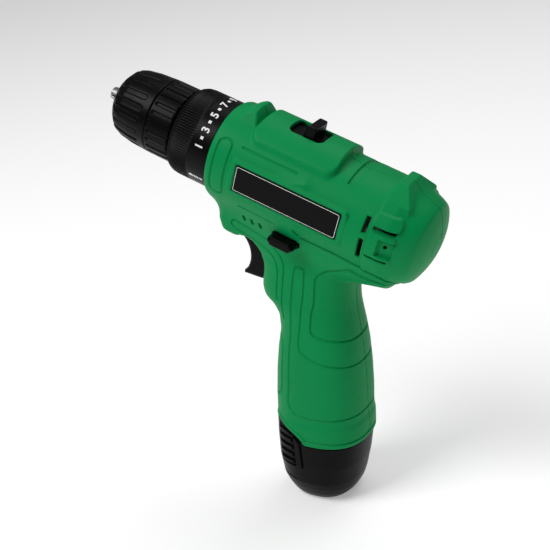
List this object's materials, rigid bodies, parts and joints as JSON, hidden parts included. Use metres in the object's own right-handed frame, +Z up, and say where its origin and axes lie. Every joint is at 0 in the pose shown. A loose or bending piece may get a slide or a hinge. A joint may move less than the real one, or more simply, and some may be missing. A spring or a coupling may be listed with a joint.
{
  "type": "cordless drill",
  "caption": "Pistol-grip cordless drill with a keyless chuck, planetary gearbox and a battery that slides out of the grip.",
  "frame": {"origin": "middle of the battery's flat foot, on the surface the drill stands on", "axes": "+Z up, spindle in the XZ plane with the chuck towards -X and nose up by 20 degrees, +Y to the right-hand side of the housing"},
  "size_m": [0.1803, 0.0536, 0.2271],
  "materials": {
    "green_shell": "fine matt grain",
    "black_plastic": "satin moulded plastic",
    "dark_nylon": "moulded nylon",
    "steel": "turned steel",
    "brass": "bright",
    "copper": "enamelled winding",
    "cell_wrap": "shrink sleeve"
  },
  "bodies": {
    "housing": {"left_housing": "green_shell", "right_housing": "green_shell", "housing_screw_1": "steel", "housing_screw_2": "steel", "housing_screw_3": "steel", "housing_screw_4": "steel", "housing_screw_5": "steel", "housing_screw_6": "steel", "housing_screw_7": "steel", "housing_screw_8": "steel", "label_left": "black_plastic", "label_right": "black_plastic", "switch_body": "dark_nylon", "trigger_spring": "steel", "motor_can": "steel", "motor_magnet_1": "dark_nylon", "motor_magnet_2": "dark_nylon", "motor_end_cap": "dark_nylon", "motor_front_bush": "brass", "gearbox_housing": "dark_nylon", "ring_gear": "steel", "spindle_bearing": "steel", "clutch_washer": "steel", "clutch_spring": "steel", "terminal_block": "dark_nylon", "terminal_plus": "brass", "terminal_minus": "brass"},
    "spindle": {"output_spindle": "steel", "planet_carrier": "steel", "chuck_body": "steel", "rear_sleeve": "black_plastic", "chuck_screw": "steel"},
    "rotor": {"motor_shaft": "steel", "rotor_core": "copper", "commutator": "brass", "cooling_fan": "dark_nylon", "sun_pinion": "steel"},
    "planet_1": {"planet_gear_1": "dark_nylon"},
    "planet_2": {"planet_gear_2": "dark_nylon"},
    "planet_3": {"planet_gear_3": "dark_nylon"},
    "chuck_sleeve": {"front_sleeve": "black_plastic", "nut_ring": "steel"},
    "jaw_1": {"jaw_1": "steel"},
    "jaw_2": {"jaw_2": "steel"},
    "jaw_3": {"jaw_3": "steel"},
    "clutch_collar": {"torque_collar": "black_plastic"},
    "trigger": {"trigger": "black_plastic"},
    "direction_button": {"direction_button": "black_plastic"},
    "gear_selector": {"gear_selector": "black_plastic"},
    "battery": {"battery_case": "black_plastic", "battery_cap": "black_plastic", "cell_1": "cell_wrap", "cell_2": "cell_wrap", "cell_3": "cell_wrap", "pack_contact_plus": "brass", "pack_contact_minus": "brass"},
    "latch_left": {"latch_left": "black_plastic"},
    "latch_right": {"latch_right": "black_plastic"}
  },
  "joints": [
    {"name": "spindle_spin", "type": "hinge", "parent": "housing", "child": "spindle", "pos_m": [0.02008, 0, 0.16995], "axis": [0.9397, 0, -0.342], "continuous": true},
    {"name": "rotor_spin", "type": "hinge", "parent": "housing", "child": "rotor", "pos_m": [0.02008, 0, 0.16995], "axis": [0.9397, 0, -0.342], "continuous": true},
    {"name": "planet_spin_1", "type": "hinge", "parent": "spindle", "child": "planet_1", "pos_m": [-0.01088, 0.00973, 0.18122], "axis": [0.9397, 0, -0.342], "continuous": true},
    {"name": "planet_spin_2", "type": "hinge", "parent": "spindle", "child": "planet_2", "pos_m": [-0.008, -0.00487, 0.18914], "axis": [0.9397, 0, -0.342], "continuous": true},
    {"name": "planet_spin_3", "type": "hinge", "parent": "spindle", "child": "planet_3", "pos_m": [-0.01377, -0.00487, 0.1733], "axis": [0.9397, 0, -0.342], "continuous": true},
    {"name": "sleeve_twist", "type": "hinge", "parent": "spindle", "child": "chuck_sleeve", "pos_m": [0.02008, 0, 0.16995], "axis": [0.9397, 0, -0.342], "range_deg": [0, 2960]},
    {"name": "jaw_slide_1", "type": "slide", "parent": "spindle", "child": "jaw_1", "axis": [0.8986, 0.2924, -0.3271], "range_m": [0, 0.0165]},
    {"name": "jaw_slide_2", "type": "slide", "parent": "spindle", "child": "jaw_2", "axis": [0.9852, -0.1462, -0.0891], "range_m": [0, 0.0165]},
    {"name": "jaw_slide_3", "type": "slide", "parent": "spindle", "child": "jaw_3", "axis": [0.812, -0.1462, -0.565], "range_m": [0, 0.0165]},
    {"name": "clutch_setting", "type": "hinge", "parent": "housing", "child": "clutch_collar", "pos_m": [0.02008, 0, 0.16995], "axis": [0.9397, 0, -0.342], "range_deg": [-118.8, 108]},
    {"name": "trigger_pull", "type": "slide", "parent": "housing", "child": "trigger", "axis": [0.9397, 0, -0.342], "range_m": [0, 0.0052], "stiffness_N_per_m": 700, "springref_m": -0.004, "deforming": ["trigger_spring"]},
    {"name": "direction_slide", "type": "slide", "parent": "housing", "child": "direction_button", "axis": [0, 1, 0], "range_m": [0, 0.0072]},
    {"name": "gear_slide", "type": "slide", "parent": "housing", "child": "gear_selector", "axis": [0.9397, 0, -0.342], "range_m": [-0.0067, 0]},
    {"name": "battery_slide", "type": "slide", "parent": "housing", "child": "battery", "axis": [-0.1045, 0, -0.9945], "range_m": [0, 0.085]},
    {"name": "latch_press_left", "type": "slide", "parent": "battery", "child": "latch_left", "axis": [0, 1, 0], "range_m": [0, 0.001], "stiffness_N_per_m": 900, "springref_m": -0.002},
    {"name": "latch_press_right", "type": "slide", "parent": "battery", "child": "latch_right", "axis": [0, -1, 0], "range_m": [0, 0.001], "stiffness_N_per_m": 900, "springref_m": -0.002}
  ],
  "couplings": [
    {"joint": "rotor_spin", "follows": "spindle_spin", "ratio": 4.5},
    {"joint": "planet_spin_1", "follows": "spindle_spin", "ratio": -2.8},
    {"joint": "planet_spin_2", "follows": "spindle_spin", "ratio": -2.8},
    {"joint": "planet_spin_3", "follows": "spindle_spin", "ratio": -2.8},
    {"joint": "jaw_slide_1", "follows": "sleeve_twist", "m_per_rad": 0.000318},
    {"joint": "jaw_slide_2", "follows": "sleeve_twist", "m_per_rad": 0.000318},
    {"joint": "jaw_slide_3", "follows": "sleeve_twist", "m_per_rad": 0.000318}
  ]
}
